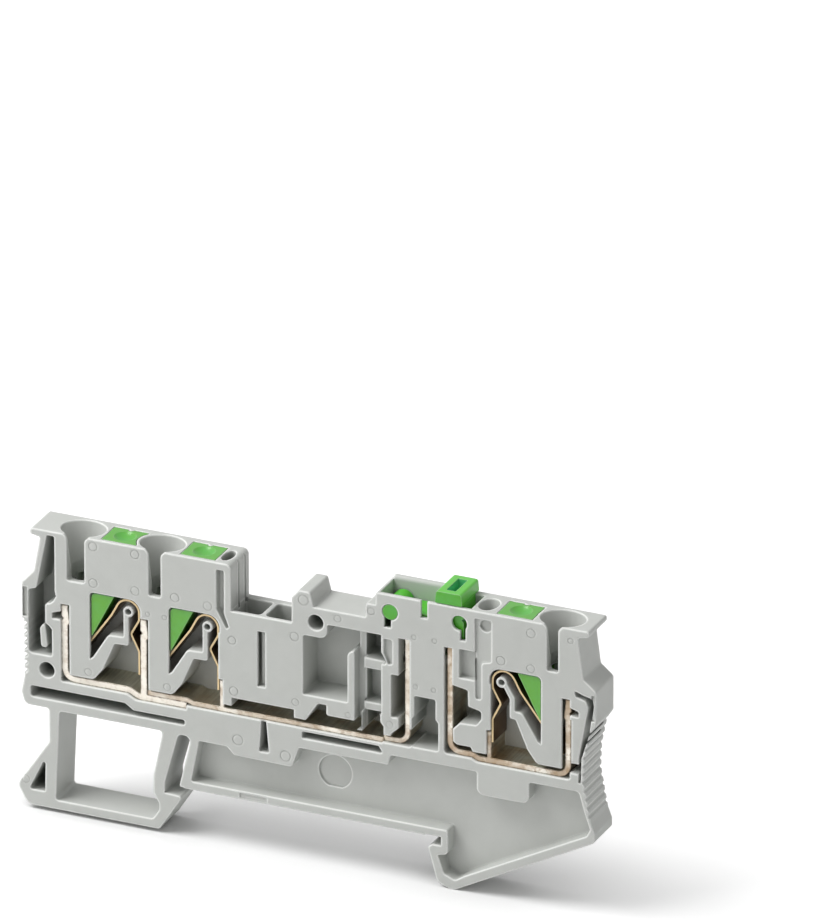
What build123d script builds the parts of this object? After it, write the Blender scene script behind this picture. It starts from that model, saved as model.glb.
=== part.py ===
from build123d import *
import os
from math import acos, radians, sin, tan

# A rail-mounted terminal block with a knife disconnect, 5.2 mm wide and open on its front side.
# Millimetres. X runs along the block, Z up, Y across the narrow width with the open front at -Y.
# The origin is the middle of the seat on the rail. A depth is counted from the open front face.

# Body
block_width = 5.2
front_wall = 0.45
back_wall = 0.9
top_z = 29.9
foot_z = -5.9
seat_beam = 1.05
left_end = 4.95
right_end = 3.25
lip_drop = 0.7
web_front = 1.9
web_back = 0.9
shallow = 0.15
slot_foot_z = 8.15
foot_top = 7.05

# Right end wall below the upper bulge, from the top down, and the grip on both end walls
right_wall = [(-0.75, 16.9), (-1.4, 13.5), (-1.5, 10.5), (-0.6, 5.5)]
grip_count = 11
grip_pitch = 1.05
grip_radius = 0.3
left_grip_count = 7
left_grip_top = 17.4

# Rail and its hooks
rail_width = 35.0
rail_thickness = 1.0
rail_play = 0.15
hook_overlap = 1.9
fixed_hook_overlap = 1.5
seat_relief = 0.1
slot_width = 1.7
slot_top = 6.85

# Bridge shafts, marker groove and lever well along the top
bridge_left = -9.15
bridge_right = -1.35
bridge_sill = 24.0
bridge_floor = 12.9
partition = 0.5
partition_fillet = 0.55
guide_groove = 0.25
marker_left = 1.4
marker_right = 8.1
marker_floor = 26.5
marker_ear = 28.3
well_left = 9.7
well_right = 21.3
well_floor = 20.7
sill_z = 24.8
bead_length = 6.4

# Clamps: distances from the spring's pin towards the wire
pin_2_reach = 3.0
pin_3_x = 25.3
pin_z = 21.4
pin_radius = 0.65
pin_bore = 0.4
bar_reach = 7.95
wire_reach = 4.95
window_top = 23.05
window_round = 0.6
chamber_top = 23.6
funnel_neck_z = 25.2
funnel_reach = 6.75
funnel_half_length = 2.8
funnel_half_width = 2.36
wire_half_length = 1.45
wire_half_width = 1.65
funnel_slot_foot = 24.0
funnel_slot_round = 0.45
column_foot = 11.8
post_width = 0.6
bent_post_reach = 1.05

# Buttons
button_inner = 0.75
button_outer = 3.6
button_gap = 0.1
button_shoulder = 26.1
wedge_tip = 17.4
wedge_front = 0.25
wedge_top_reach = 1.1
funnel_guard = 0.3
dish_radius = 1.35
dish_depth = 0.5
key_radius = 0.3

# Springs
spring_thickness = 0.25
spring_front = 0.3
spring_rear_gap = 0.2
spring_back = 1.25
spring_arch = 1.45
spring_foot = 13.4
spring_taper = 0.5
leg_gap = 0.025
knee_reach = 2.3

# Bars
bar_thickness = 0.8
centre_thickness = 0.6
fork_thickness = 0.65
right_thickness = 0.7
bar_width = 3.95
bar_top = 20.6
left_bar_z = 10.8
low_bar_z = 10.2
centre_bar_z = 10.7
right_bar_z = 10.6
bar_step = 0.35
bend = 1.3
left_bar_end = -15.0
bar_joint_x = 10.15
fork_top = 24.6
left_fork_x = 13.18
right_fork_x = 18.65
lug_height = 14.7
lug_thickness = 0.5
barb = 0.22
barb_z = 18.1

# Lever and knife
pivot_x = 11.15
pivot_z = 27.7
pivot_radius = 0.95
pivot_play = 0.07
hub_radius = 1.25
lever_gap = 0.15
head_left = 16.8
head_right = 20.25
head_top = 31.5
head_margin = 0.12
driver_slot_length = 3.4
driver_slot_width = 1.2
driver_slot_depth = 1.3
blade_thickness = 0.8
blade_play = 0.05
blade_room = 0.4
blade_bottom = 21.4

# Bores for the pegs of a neighbour or an end cover, test cup and the round marks of the mould's pins
bore_radius = 1.0
bore_length = 3.8
left_bore_reach = 3.15
left_bore_z = 11.95
centre_bore_x = 1.7
centre_bore_z = 24.6
cup_reach = 1.4
cup_half_length = 1.21
cup_half_width = 1.69
cup_depth = 2.2
mark_depth = 0.06
mark_line = 0.12

pocket = block_width - back_wall
middle = (front_wall + pocket) / 2
top_beam = low_bar_z + 0.4
rail_edge = rail_width / 2
clamp_pitch = bar_reach + bar_thickness + leg_gap + spring_back + spring_thickness / 2
pin_2_x = bridge_left - pin_2_reach
pin_1_x = pin_2_x - clamp_pitch
left_x = pin_1_x - bar_reach - bar_thickness - left_end
right_x = pin_3_x + bar_reach + right_thickness + right_end
bridge_middle = (bridge_left + bridge_right) / 2
through = (-0.5, block_width + 0.5)


def depth(distance):
    """Y of a plane that lies this far behind the open front face."""
    return distance - block_width / 2


def at(origin, points):
    """The same corners with their first value counted from this origin."""
    return [(origin + p[0],) + tuple(p[1:]) for p in points]


def outline(points, place):
    """Face through corners (a, b), or (a, b, radius) where it is round; place puts a corner in space."""
    corners = [(place(p[0], p[1]), p[2] if len(p) > 2 else 0) for p in points]
    edges = []
    ends = []
    for i, (corner, radius) in enumerate(corners):
        to_last = (corners[i - 1][0] - corner).normalized()
        to_next = (corners[(i + 1) % len(corners)][0] - corner).normalized()
        half = acos(max(-1, min(1, to_last.dot(to_next)))) / 2
        if radius < 0.001 or half > radians(89.5):
            ends.append((corner, corner, None))
            continue
        reach = radius / tan(half)
        inward = (to_last + to_next).normalized()
        crown = corner + inward * (radius / sin(half) - radius)
        ends.append((corner + to_last * reach, corner + to_next * reach, crown))
    for i, (start, end, crown) in enumerate(ends):
        if crown is not None:
            edges.append(Edge.make_three_point_arc(start, crown, end))
        following = ends[(i + 1) % len(ends)][0]
        if (following - end).length > 0.0005:
            edges.append(Edge.make_line(end, following))
    return Face(Wire(edges))


def prism(points, near, far):
    """Solid with this front outline, corners as (x, z), between two depths."""
    face = outline(points, lambda x, z: Vector(x, depth(near), z))
    return extrude(face, amount=far - near, dir=(0, 1, 0))


def shaft(points, z_low, z_high):
    """Upright solid with this plan, corners as (x, depth), between two heights."""
    face = outline(points, lambda x, d: Vector(x, depth(d), z_low))
    return extrude(face, amount=z_high - z_low, dir=(0, 0, 1))


def block(x_low, x_high, z_low, z_high, near=0, far=pocket, radius=0):
    """Straight block, its four edges in Y rounded on request."""
    corners = [(x_low, z_low), (x_low, z_high), (x_high, z_high), (x_high, z_low)]
    return prism([(x, z, radius) for x, z in corners], near, far)


def disc(x, z, radius, near, far):
    """Cylinder along Y."""
    return Pos(x, depth((near + far) / 2), z) * Rot(90, 0, 0) * Cylinder(radius, far - near)


def strip(path, thickness, near, far):
    """Bent strip of even thickness whose middle line is the path; a corner's third value is its radius."""
    half = thickness / 2
    points = [Vector(p[0], p[1]) for p in path]
    radii = [p[2] if len(p) > 2 else 0 for p in path]
    headings = [(b - a).normalized() for a, b in zip(points, points[1:])]
    left, right = [], []
    for i, point in enumerate(points):
        before = headings[max(i - 1, 0)]
        after = headings[min(i, len(headings) - 1)]
        normal_before = Vector(-before.Y, before.X)
        normal_after = Vector(-after.Y, after.X)
        shift = (normal_before + normal_after) * (half / (1 + normal_before.dot(normal_after)))
        turns_left = before.cross(after).Z > 0
        inner = max(radii[i] - half, 0)
        outer = radii[i] + half if radii[i] else 0
        left.append((point.X + shift.X, point.Y + shift.Y, inner if turns_left else outer))
        right.append((point.X - shift.X, point.Y - shift.Y, outer if turns_left else inner))
    return prism(left + right[::-1], near, far)


def ellipse_column(x, z_low, z_high, half_length, half_width):
    """Upright column with an elliptical section, in the middle of the depth."""
    section = Pos(x, depth(middle), z_low) * Ellipse(half_length, half_width)
    return extrude(section, amount=z_high - z_low, dir=(0, 0, 1))


class Clamp:
    """One push-in clamp: places are given as a reach from its pin towards the wire, and a height."""

    def __init__(self, pin_x, side, thickness, slot_reach, post_reach):
        self.pin_x = pin_x
        self.side = side
        self.bar_far = bar_reach + thickness
        self.slot_reach = slot_reach
        self.post_reach = post_reach

    def x(self, reach):
        return self.pin_x + self.side * reach

    def points(self, path):
        return [(self.x(p[0]),) + tuple(p[1:]) for p in path]

    def prism(self, path, near, far):
        return prism(self.points(path), near, far)

    def block(self, reach_a, reach_b, z_low, z_high, near=0, far=pocket, radius=0):
        low, high = sorted((self.x(reach_a), self.x(reach_b)))
        return block(low, high, z_low, z_high, near, far, radius)


clamps = [
    Clamp(pin_1_x, -1, bar_thickness, (5.6, 7.9), 0),
    Clamp(pin_2_x, -1, bar_thickness, (5.95, 7.55), 0),
    Clamp(pin_3_x, 1, right_thickness, (5.7, 7.15), bent_post_reach),
]


# Housing

def rail_foot_outline():
    """Underside of the housing from the right wall to the left one, clockwise seen from the front."""
    wall_in = rail_edge + rail_play
    tip_right = rail_edge - fixed_hook_overlap
    tip_left = hook_overlap - rail_edge
    under = -(rail_thickness + 0.05)
    slot_foot = -rail_edge + 1.65
    slot_lean = 1.58
    fixed_hook = at(rail_edge, [(1.7, foot_z - 0.6, 1.3), (-0.3, foot_z + 0.1, 1.2)])
    fixed_hook += [(tip_right, under - 0.4, 0.25), (tip_right + 0.5, under, 0.1), (wall_in, under)]
    seat = [
        (wall_in, seat_relief), (tip_right - 0.3, seat_relief), (tip_right - 0.4, 0),
        (tip_left + 0.4, 0), (tip_left + 0.3, seat_relief), (slot_foot, seat_relief, 0.2),
    ]
    slot = at(slot_foot + slot_lean, [(0, slot_top, 0.7), (-slot_width, slot_top, 0.7)])
    springy_hook = [
        (-wall_in - 0.1, 0.3, 0.2), (-wall_in - 0.1, under), (tip_left - 0.25, under - 0.1, 0.1),
        (tip_left, under - 0.35, 0.2), (tip_left - 2.85, foot_z, 0.5),
    ]
    foot = at(left_x, [
        (0.6, foot_z, 1.2), (-0.75, -3.5, 1.0), (3.4, 2.7, 0.8), (3.4, foot_top, 0.4),
    ])
    return fixed_hook + seat + slot + springy_hook + foot


def housing_outline():
    """Whole silhouette, clockwise from the lip at the top left."""
    top = [
        (left_x + 1.15, top_z, 0.25), (bridge_left, top_z, 0.7), (bridge_left, bridge_sill, 0.15),
        (bridge_right, bridge_sill, 0.15), (bridge_right, marker_ear - 1.0, 0.1), (-0.5, marker_ear, 0.3),
        (0.95, marker_ear, 0.3), (marker_left, marker_floor, 0.15), (marker_right, marker_floor, 0.15),
        (marker_right, marker_ear, 0.15), (well_left - 0.35, marker_ear, 0.1),
        (well_left - 0.35, top_z, 0.15),
    ]
    right = at(right_x, [
        (-0.9, top_z, 0.25), (-0.9, top_z - lip_drop, 0.2), (-2.3, top_z - 1.0, 0.3), (-1.6, 23.7, 0.5),
        (0, 22.4, 0.5), (0, 18.1, 0.5),
    ])
    right += [(right_x + x, z, 1.0) for x, z in right_wall]
    right += at(right_x, [(-0.1, 4.2, 0.3), (-0.1, 3.05, 0.5)])
    left = at(left_x, [
        (0.3, foot_top, 0.8), (-0.15, 8.6, 0.6), (0.25, 10.6, 0.4), (0.25, 18.1), (0, 18.1),
        (0, 22.75, 0.3), (1.6, 24.5, 0.4), (2.4, top_z - 0.95, 0.2), (1.15, top_z - lip_drop, 0.15),
    ])
    return top + right + rail_foot_outline() + left


def wall_x(wall, z):
    """Where a wall given by (x, z) points from the top down stands at this height."""
    for (x_a, z_a), (x_b, z_b) in zip(wall, wall[1:]):
        if z_b <= z <= z_a:
            return x_a + (x_b - x_a) * (z_a - z) / (z_a - z_b)
    return wall[-1][0]


def grip_grooves():
    """Fine grooves across both end walls."""
    cutters = []
    for i in range(grip_count):
        z = right_wall[0][1] - 0.1 - grip_pitch * i
        x = right_x + wall_x(right_wall, z) + grip_radius * 0.4
        cutters.append(disc(x, z, grip_radius, 0, block_width))
    for i in range(left_grip_count):
        z = left_grip_top - grip_pitch * 0.95 * i
        cutters.append(disc(left_x + 0.07 + grip_radius, z, grip_radius, 0, block_width))
    return cutters


def foot_cuts():
    """Big window through the foot, the hollow brace beside it and the sunk web over the rail."""
    hook_root = -rail_edge
    window = at(left_x, [(4.15, foot_z + 1.15, 0.4), (4.7, foot_top - 0.15, 0.4)])
    window += at(hook_root, [
        (-0.45, foot_top - 0.15, 0.4), (-1.65, 1.0, 0.5), (-1.7, -1.2, 0.4), (-0.95, -2.6, 0.5),
        (-0.95, -3.4, 0.5), (-1.8, foot_z + 1.15, 0.6),
    ])
    brace = at(left_x, [(2.9, 0.6, 0.2), (2.8, -3.9, 0.2), (0.7, -3.9, 0.3)])
    tab = at(pin_3_x, [
        (-3.1, 9.4, 0.3), (-3.1, 6.5, 0.9), (3.5, 6.5, 0.9), (3.5, 9.3, 0.3),
    ])
    web = [
        (-13.3, 6.5, 0.2), (-9.7, 6.5, 0.3), (-8.8, 5.55, 0.3), (-1.4, 5.45, 0.4), (-0.5, 8.1, 0.3),
        (10.9, 8.1, 0.2), (11.2, 9.4, 0.4),
    ]
    web += tab
    web += at(right_x, [(-2.1, 9.3, 0.5), (-1.4, 6.9, 0.8), (-0.65, 4.7, 0.3), (-1.1, 3.75, 0.3)])
    web += at(rail_edge, [
        (3.1, foot_z + 1.5, 0.8), (1.9, foot_z + 0.7, 0.6), (0.5, foot_z + 1.3, 0.5), (-0.3, -2.3, 0.2),
        (1.0, -2.0, 0.5), (1.0, seat_beam, 0.3), (-31.85, seat_beam, 0.3),
    ])
    dish = disc(3.35, 4.95, 2.1, web_front - 0.4, web_front + 0.3) - block(1, 6, 2, 3.05, 0, pocket)
    cuts = [prism(window, *through), prism(brace, -0.5, pocket)]
    cuts.append(prism(web, -0.5, web_front))
    cuts.append(prism(web, pocket - web_back, block_width + 0.5))
    cuts.append(dish)
    cuts.append(block(-8.1, -4.6, 0.2, 0.8, -0.5, shallow))
    return cuts


def left_end_pockets():
    """Deep hollow behind the left wall with its hook, and the long slot under the left bar."""
    hollow = at(left_x, [
        (4.25, 29.35, 0.25), (4.25, 22.3, 0.2), (4.4, 21.7, 0.2), (4.05, 21.0, 0.2), (3.6, 20.6, 0.2),
        (3.0, 20.5, 0.35), (3.0, 18.0, 0.35), (3.5, 17.7, 0.2), (3.85, 17.3, 0.1), (3.85, 13.8, 0.3),
        (0.8, 13.8, 0.6), (0.8, 21.95, 0.3), (1.85, 22.3, 0.4), (3.25, 29.35, 0.25),
    ])
    hook_mouth = at(left_x, [(3.85, 19.5, 0.15), (5.0, 19.85), (5.0, 18.75), (3.85, 18.75, 0.15)])
    joggle = pin_1_x - 0.5
    slot = [
        (left_x + 1.0, slot_foot_z + 1.45, 0.3), (joggle, slot_foot_z + 1.45, 0.2),
        (joggle + 1.1, slot_foot_z + 0.7, 0.2), (left_bar_end - 0.1, slot_foot_z + 0.7, 0.3),
        (left_bar_end - 0.1, slot_foot_z, 0.3), (left_x + 1.0, slot_foot_z, 0.4),
    ]
    cuts = [prism(p, -0.5, pocket) for p in (hollow, hook_mouth, slot)]
    cuts.append(block(left_x + 0.12, left_x + 0.7, 18.4, 22.2, -0.5, shallow * 2, 0.05))
    return cuts


def right_end_pockets():
    """S-shaped gap behind the right wall, its hook and the gap beside the bar."""
    gap = at(right_x, [
        (-2.85, 22.2, 0.2), (-1.7, 21.75, 0.4), (-0.55, 21.5, 0.4), (-0.35, 20.4, 0.4), (-0.75, 17.0, 0.6),
        (-1.75, 13.6, 0.3), (-1.85, 10.4, 0.1), (-2.15, 10.4, 0.1), (-2.1, 13.6, 0.3), (-1.45, 17.4, 0.5),
        (-0.95, 20.2, 0.4), (-1.25, 21.0, 0.3), (-2.5, 21.35, 0.2),
    ])
    bar_side = right_x - right_end
    hook_mouth = at(bar_side, [(-0.05, 19.85), (1.1, 19.5, 0.15), (1.1, 18.75, 0.15), (-0.05, 18.75)])
    cuts = [prism(p, -0.5, pocket) for p in (gap, hook_mouth)]
    cuts.append(block(bar_side - 0.05, bar_side + 0.2, column_foot - 0.3, 18.3, -0.5, pocket))
    cuts.append(block(bar_side + 0.15, bar_side + 1.25, 11.5, 12.8, -0.5, pocket, 0.2))
    cuts.append(block(right_x - 0.55, right_x - 0.12, 18.6, 21.9, -0.5, shallow * 2, 0.05))
    return cuts


def beam_slots():
    """Narrow slots in the beam under the centre bar."""
    centre = [
        (-5.6, 6.65, 0.2), (-5.3, top_beam + 0.05, 0.1), (-4.65, top_beam + 0.05, 0.1), (-4.3, 6.65, 0.2),
    ]
    right = [(-0.1, 9.4, 0.2), (-0.1, 10.3, 0.2), (9.7, 10.3, 0.1), (10.3, 9.4, 0.2)]
    return [prism(p, -0.5, pocket) for p in (centre, right)]


def lens_rib():
    """Small free-standing rib in the left hollow."""
    rib = at(left_x, [(2.25, 14.6, 0.4), (2.1, 17.0, 0.4), (2.7, 17.9, 0.2), (3.05, 14.6, 0.3)])
    return prism(rib, front_wall, pocket + 0.3)


def clamp_cuts(clamp):
    """Open spring window, closed wire chamber behind its column, bar slot and button shaft."""
    spring_side = -(spring_back + spring_thickness / 2 + 0.03)
    window = [
        (wire_reach + 0.05, window_top, window_round), (spring_side - 0.15, window_top, 1.5),
        (spring_side - 0.15, pin_z - 0.45, 0.1), (spring_side, pin_z - 0.5), (spring_side, column_foot),
        (wire_reach + 0.05, column_foot),
    ]
    shaft_low = window_top - 0.45
    shaft_high = button_shoulder + 2 * button_gap
    bar_slot_foot = column_foot - 0.6
    return [
        clamp.prism(window, -0.5, pocket),
        clamp.block(wire_reach - 0.1, bar_reach + 0.01, column_foot, chamber_top, front_wall, pocket),
        clamp.block(bar_reach - barb - 0.13, clamp.bar_far, bar_slot_foot, bar_top + 0.25, -0.5, pocket),
        clamp.block(wire_reach - 0.1, -0.9, shaft_low, shaft_high, front_wall, pocket),
    ]


def shaft_top(clamp, gap, top):
    """Upper part of a button shaft, or of a button at this gap: it is cut back round funnels and key."""
    outer = button_outer + button_gap - gap
    inner = -button_inner - button_gap + gap
    foot = button_shoulder - 0.5
    head = clamp.block(outer, inner, foot, top, front_wall + gap, pocket - gap)
    guard = funnel_guard + gap
    for other in clamps:
        head -= ellipse_column(
            other.x(funnel_reach), foot - 1, top_z + 3, funnel_half_length + guard, funnel_half_width + guard
        )
    key_x = clamp.x((button_outer - button_inner) / 2)
    key = Pos(key_x, depth(pocket), (foot + top_z) / 2 + 1) * Cylinder(key_radius + gap, top_z - foot + 3)
    return head - key


def funnel_cut(clamp):
    """Wire funnel: an oval cone down to the wire hole, opened through the front wall by a slot."""
    x = clamp.x(funnel_reach)
    y = depth(middle)
    rim = Pos(x, y, top_z) * Ellipse(funnel_half_length, funnel_half_width)
    neck = Pos(x, y, funnel_neck_z) * Ellipse(wire_half_length, wire_half_width)
    hole = ellipse_column(x, chamber_top - 0.5, funnel_neck_z + 0.01, wire_half_length, wire_half_width)
    near, far = clamp.slot_reach
    corner = funnel_slot_round
    slot = [
        (near, funnel_slot_foot, 0.3), (near, top_z - corner, 0.7), (near - 2 * corner, top_z + corner),
        (far + 2 * corner, top_z + corner), (far, top_z - corner, 0.7), (far, funnel_slot_foot, 0.3),
    ]
    return [loft([neck, rim]), hole, clamp.prism(slot, -0.5, middle - 0.6)]


def clamp_islands(clamp):
    """Slanting rib, post and hollow pin that carry the spring."""
    post = clamp.post_reach
    bend_z = pin_z - 1.9
    rib = [
        (wire_reach + 0.05, column_foot + 0.05), (wire_reach + 0.05, 14.45, 0.15), (4.6, 14.7, 0.3),
        (2.6, 17.95, 0.6), (post + post_width, 18.05, 0.2), (post + post_width, bend_z + 0.2, 0.4),
        (post_width, pin_z), (0, pin_z), (post, bend_z, 0.4), (post, 17.05, 0.25), (1.8, 17.0, 0.4),
        (3.3, 13.45, 0.5), (4.35, 12.05, 0.3), (4.75, column_foot + 0.05),
    ]
    return [clamp.prism(rib, 0, pocket + 0.4), disc(clamp.pin_x, pin_z, pin_radius, 0, pocket + 0.4)]


def bar_channel():
    """Channel that the current bars lie in, its floor following their undersides."""
    upper = column_foot + 0.05
    left_edge = clamps[0].x(clamps[0].bar_far)
    right_edge = clamps[2].x(clamps[2].bar_far)
    fork_edge = left_fork_x + 0.77
    left = [
        (left_edge, upper), (left_bar_end + 0.1, upper), (left_bar_end + 0.1, low_bar_z),
        (pin_1_x + 0.9, low_bar_z), (pin_1_x - 0.25, left_bar_z), (left_edge, left_bar_z, 0.3),
    ]
    centre = [
        (left_bar_end - 0.2, upper), (fork_edge, upper), (fork_edge, centre_bar_z + 0.15, 0.5),
        (bar_joint_x, centre_bar_z + 0.15), (bar_joint_x, centre_bar_z), (left_bar_end - 0.2, centre_bar_z),
    ]
    right = [
        (right_fork_x - 0.65, upper), (right_edge, upper), (right_edge, right_bar_z, 0.3),
        (22.2, right_bar_z), (21.4, right_bar_z + bar_step), (right_fork_x - 0.65, right_bar_z + bar_step, 0.5),
    ]
    return [prism(p, -0.5, pocket) for p in (left, centre, right)]


def bridge_cuts():
    """Two shafts for the legs of bridges, the sunk panel line, the feet's gap and the guide grooves."""
    half = partition / 2
    wall = 0.05
    left_shaft = [
        (bridge_left + wall, front_wall, 0.2), (bridge_middle - half, front_wall, partition_fillet),
        (bridge_middle - half, pocket, partition_fillet), (bridge_left + wall, pocket, 0.2),
    ]
    right_shaft = [
        (bridge_middle + half, front_wall, partition_fillet), (bridge_right - wall, front_wall, 0.2),
        (bridge_right - wall, pocket, 0.2), (bridge_middle + half, pocket, partition_fillet),
    ]
    label_groove = at(pin_2_x, [
        (1.15, 29.0, 0.2), (2.15, 29.0, 0.2), (2.15, 23.5, 0.3), (2.75, 21.9, 0.1), (2.45, 21.6, 0.1),
        (1.15, 23.9, 0.3),
    ])
    cuts = [
        shaft(left_shaft, bridge_floor, bridge_sill + 1),
        shaft(right_shaft, bridge_floor, bridge_sill + 1),
        block(bridge_middle - 0.5, bridge_middle + 0.5, 15.0, 22.1, -0.5, 0.8),
        block(bridge_left + wall, bridge_right + 0.25, column_foot, bridge_floor, -0.5, pocket),
        prism(label_groove, -0.5, 2 * front_wall),
    ]
    for at_depth in (2.3, pocket - 0.15):
        groove = Pos(bridge_left, depth(at_depth), (bridge_sill + top_z) / 2)
        cuts.append(groove * Cylinder(guide_groove, top_z - bridge_sill + 1))
    return cuts


def compartments():
    """Hollows under the marker groove, between the panel and the left fork."""
    tall = [
        (0.05, 22.75, 0.3), (3.1, 22.75, 0.9), (3.15, 24.6, 0.2), (6.7, 24.6, 0.2), (6.7, 21.8),
        (5.75, 21.8, 0.8), (5.75, 15.1, 0.2), (0.05, 15.1, 0.2),
    ]
    under_foot = [
        (0.35, column_foot), (1.95, 14.25, 0.4), (3.05, 14.25), (3.05, 12.95, 0.3), (6.85, 12.95, 0.5),
        (7.0, 13.6), (7.0, column_foot),
    ]
    low = [
        (7.6, 14.35, 0.2), (9.9, 14.35, 0.1), (9.95, 13.4, 0.3), (10.35, 12.9, 0.2), (10.35, column_foot),
        (7.6, column_foot),
    ]
    high = [
        (7.5, 24.55, 0.2), (10.0, 24.55, 0.2), (10.0, 22.5, 0.2), (10.75, 21.2, 0.2), (10.45, 20.85, 0.1),
        (7.5, 20.95, 0.2),
    ]
    cuts = [prism(p, -0.5, pocket) for p in (tall, under_foot, low, high)]
    cuts.append(block(7.55, 10.05, 15.3, 19.65, -0.5, pocket - 1.2, 0.2))
    cuts.append(block(6.65, 10.05, 14.35, 24.6, -0.5, 0.8))
    cuts.append(block(6.6, 7.55, 11.9, 24.6, -0.5, 1.5))
    return cuts


def left_fork_cuts():
    """Room for the left fork, with the S-shaped strap that stands beside it."""
    fork_side = left_fork_x - 0.98
    cuts = [
        block(fork_side, fork_side + 1.45, 12.0, sill_z - 0.2, -0.5, pocket),
        block(11.25, fork_side + 0.1, 14.3, 19.8, -0.5, pocket, 0.2),
        prism([(11.2, column_foot), (11.2, 12.1), (12.2, 13.0, 0.2), (fork_side + 1.7, 13.2),
               (fork_side + 1.7, column_foot)], -0.5, pocket),
        prism([(10.35, 24.2, 0.2), (11.45, 24.2, 0.3), (11.45, 21.1, 0.2), (10.95, 20.95, 0.1),
               (10.35, 22.4, 0.1)], -0.5, shallow * 3),
    ]
    return cuts


def right_fork_cuts():
    """Room for the right fork, the hollows beside it and the sunk field at its top."""
    slot_right = right_fork_x + right_thickness / 2 + 0.05
    beside = [
        (slot_right - 0.1, 19.95), (21.05, 19.6, 0.3), (21.1, 17.55, 0.2), (22.75, 17.2, 0.4),
        (22.75, 16.2, 0.2), (22.1, 15.3, 0.2), (20.0, 15.2, 0.3), (19.15, 14.3, 0.1), (slot_right - 0.1, 14.2),
    ]
    below = [
        (slot_right - 0.1, 14.4), (19.15, 14.3), (19.2, 12.7, 0.3), (19.7, 12.4, 0.2), (21.4, 12.4, 0.2),
        (21.7, column_foot), (slot_right - 0.1, column_foot),
    ]
    cuts = [block(right_fork_x - 0.65, slot_right, column_foot - 0.3, sill_z - 0.2, -0.5, pocket)]
    cuts += [prism(p, -0.5, pocket) for p in (beside, below)]
    cuts.append(block(slot_right + 0.85, well_right + 0.65, 21.0, sill_z - 0.1, -0.5, 1.0, 0.15))
    return cuts


def knife_cuts():
    """Lever well from the top, the blade's slot below it, the pivot's bearing and the front windows."""
    slot_half = blade_thickness / 2 + blade_room
    front_hole = front_wall + 0.1
    column_window = [
        (14.2, 17.6, 0.3), (16.95, 17.6, 0.3), (16.95, 15.0, 0.2), (17.3, 14.6), (17.3, 11.0, 0.3),
        (13.9, 11.0, 0.3), (13.9, 14.6), (14.2, 15.0, 0.2),
    ]
    return [
        block(well_left, well_right, sill_z, top_z + 3, front_wall, pocket),
        block(11.6, well_right - 0.2, well_floor, sill_z + 0.1, middle - slot_half, middle + slot_half),
        block(14.0, 18.35, 23.1, sill_z + 0.1, front_wall, pocket),
        prism(column_window, -0.5, pocket),
        disc(pivot_x, pivot_z, pivot_radius + pivot_play, -0.5, pocket + 0.55),
        block(pivot_x - 0.75, pivot_x + 0.15, 25.7, pivot_z, -0.5, front_hole),
        block(15.05, 15.9, 27.75, top_z + 1, -0.5, front_hole),
        disc(19.95, 27.95, 0.98, -0.5, front_hole),
        block(20.05, 20.75, 25.8, 27.9, -0.5, front_hole),
    ]


def top_details():
    """Test cup, cross hole, sunk channel and bores."""
    cup_x = well_right + cup_reach
    neck = 0.66
    cup_neck = Pos(cup_x, depth(middle), top_z - cup_depth)
    cup_neck *= Ellipse(cup_half_length * neck, cup_half_width * neck)
    cup_rim = Pos(cup_x, depth(middle), top_z) * Ellipse(cup_half_length, cup_half_width)
    channel = at(well_right, [
        (0.6, 29.0, 0.2), (2.7, 29.0, 0.2), (2.7, 23.7, 0.3), (1.45, 23.4, 0.4), (1.45, 18.7, 0.3),
        (0.7, 18.7, 0.3),
    ])
    left_bore_x = left_x + left_bore_reach
    return [
        loft([cup_neck, cup_rim]),
        ellipse_column(pin_2_x + 1.7, bridge_sill - 0.5, top_z + 1, 0.7, 1.45),
        prism(channel, -0.5, shallow * 2),
        disc(well_right + 1.9, 28.1, 0.75, -0.5, 0.7),
        disc(left_bore_x, left_bore_z, bore_radius, -0.5, bore_length),
        disc(centre_bore_x, centre_bore_z, bore_radius, -0.5, bore_length),
    ]


def mould_marks():
    """Round marks that the mould's pins leave on the front face."""
    marks = [
        (-1.0, 22.3, 0.6), (-9.0, 20.3, 0.55), (-8.8, 13.8, 0.6), (-0.9, 13.9, 0.5), (0.15, 27.2, 0.7),
        (4.5, 25.65, 0.5), (8.75, 27.4, 0.5), (14.2, 25.1, 0.35), (16.8, 25.1, 0.35), (14.4, 18.8, 0.35),
        (16.7, 18.8, 0.35), (-8.3, 7.6, 0.7), (-2.2, 6.7, 0.7), (5.8, 13.55, 0.4), (11.1, 13.3, 0.5),
    ]
    marks += at(pin_1_x, [
        (-4.5, 29.0, 0.6), (0.9, 29.0, 0.6), (-4.5, 24.3, 0.6), (0.9, 24.3, 0.6), (-5.2, 12.7, 0.5),
        (2.5, 21.6, 0.35),
    ])
    marks += at(pin_2_x, [(-4.15, 24.4, 0.6), (0.05, 24.1, 0.6), (-5.2, 12.7, 0.5), (-5.5, 21.6, 0.35)])
    marks += at(pin_3_x, [(3.7, 28.4, 0.6), (3.7, 23.9, 0.55), (-0.1, 24.2, 0.6), (8.7, 28.4, 0.4)])
    marks.append((left_x + 0.3, -2.7, 0.55))
    return [disc(x, z, r, -0.5, mark_depth) - disc(x, z, r - mark_line, -0.6, 1) for x, z, r in marks]


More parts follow.
